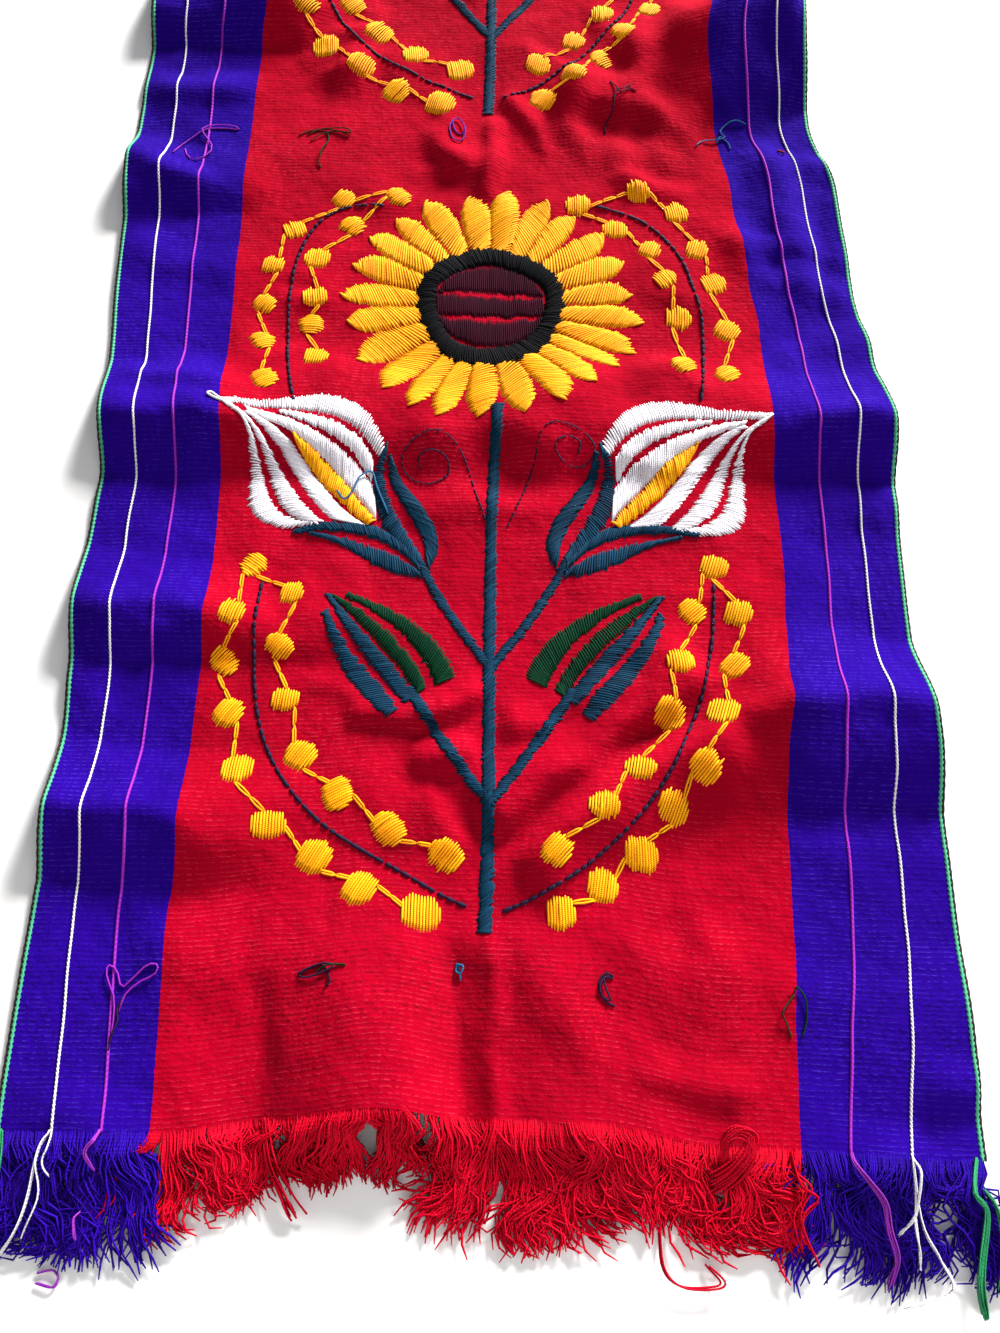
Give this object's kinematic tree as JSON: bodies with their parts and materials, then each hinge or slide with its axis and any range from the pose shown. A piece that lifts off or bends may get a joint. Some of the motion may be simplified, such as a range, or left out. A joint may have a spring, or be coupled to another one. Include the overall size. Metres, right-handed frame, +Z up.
{
  "type": "embroidered table runner",
  "caption": "Long handwoven runner, red with blue striped borders and a fringe at each end, embroidered with sunflower, lily and berry sprays, lying in low folds.",
  "frame": {"origin": "centre of the runner's outline on the surface that it lies on", "axes": "+X across the cloth, +Y along it towards the tops of the embroidered sprays, +Z up from the surface"},
  "size_m": [0.405, 1.6468, 0.0213],
  "materials": {
    "woven_cloth": "warp-faced handwoven cotton, matt with a soft sheen, red with blue borders and thin cord stripes",
    "fringe_yarn": "loose twisted warp yarn, matt, red and blue like the cloth it leaves"
  },
  "bodies": {
    "root": {"woven_cloth": "woven_cloth", "fringe_near": "fringe_yarn", "fringe_far": "fringe_yarn"}
  },
  "joints": []
}
